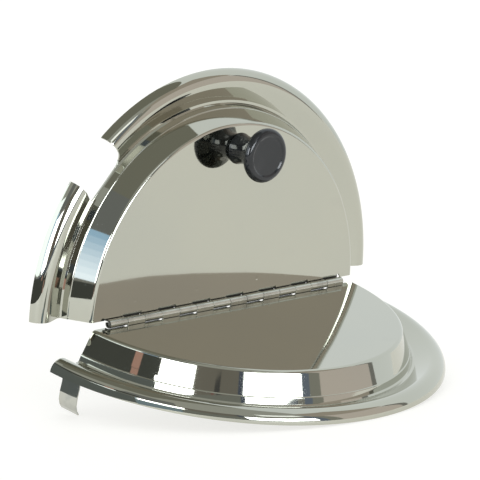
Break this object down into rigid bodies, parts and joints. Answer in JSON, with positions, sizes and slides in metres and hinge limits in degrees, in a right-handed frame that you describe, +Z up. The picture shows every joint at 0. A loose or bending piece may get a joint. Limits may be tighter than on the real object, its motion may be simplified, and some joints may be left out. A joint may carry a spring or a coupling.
{
  "type": "hinged inset cover",
  "caption": "Round pressed-steel cover for a food-warmer inset, split across the middle by a piano hinge, with a ladle notch, black knob and two clips, standing half open.",
  "frame": {"origin": "on the table, under the middle of the box around the cover as it stands open", "axes": "+X along the hinge, -Y from the hinge towards the fixed half's front rim, +Z up from the table"},
  "size_m": [0.2522, 0.1398, 0.1739],
  "materials": {
    "steel_polished": "mirror-polished stainless steel, faintly warm, with light handling marks",
    "steel_hinge": "bright mill-finish stainless steel",
    "steel_clip": "bright stainless strip",
    "black_phenolic": "glossy moulded black phenolic",
    "brass_insert": "turned brass",
    "screw_steel": "zinc-plated steel"
  },
  "bodies": {
    "fixed_half": {"fixed_cover": "steel_polished", "fixed_leaf": "steel_hinge", "hinge_pin": "steel_hinge", "left_clip": "steel_clip", "right_clip": "steel_clip"},
    "flip_half": {"flip_cover": "steel_polished", "flip_leaf": "steel_hinge", "knob": "black_phenolic", "knob_insert": "brass_insert", "knob_washer": "screw_steel", "knob_screw": "screw_steel"}
  },
  "joints": [
    {"name": "flip_hinge", "type": "hinge", "parent": "fixed_half", "child": "flip_half", "pos_m": [0, 0.04846, 0.0448], "axis": [1, 0, 0], "range_deg": [-84, 80]}
  ]
}
